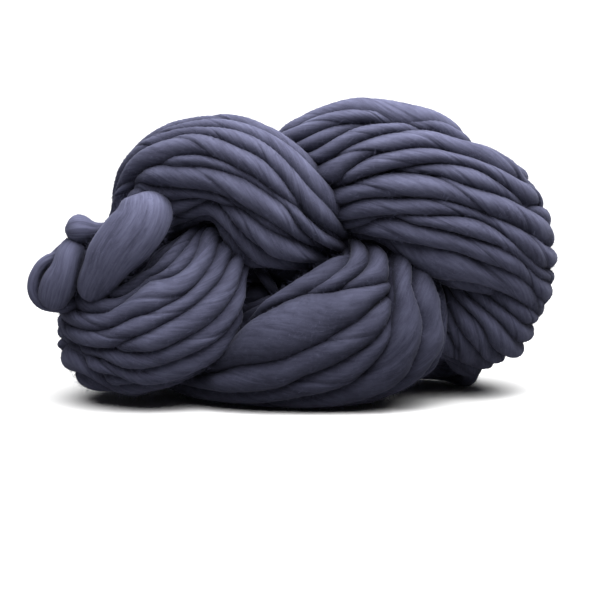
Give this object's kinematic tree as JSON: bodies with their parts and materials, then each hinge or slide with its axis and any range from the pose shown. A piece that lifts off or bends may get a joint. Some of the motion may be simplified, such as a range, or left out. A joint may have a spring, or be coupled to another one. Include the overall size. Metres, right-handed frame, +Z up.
{
  "type": "hank of chunky wool yarn",
  "caption": "Twisted hank of very thick single-ply wool, folded back on itself and tucked through its own end, lying on its side.",
  "frame": {"origin": "on the floor, under the middle of the hank's box", "axes": "+X to the right along the hank, from the loose end to the big fold, -Y towards the viewer, +Z up"},
  "size_m": [0.3216, 0.1434, 0.1854],
  "materials": {
    "wool": "soft matt unspun wool, slate blue, with combed fibres along each strand and a light fuzz"
  },
  "bodies": {
    "root": {"hank": "wool"}
  },
  "joints": []
}
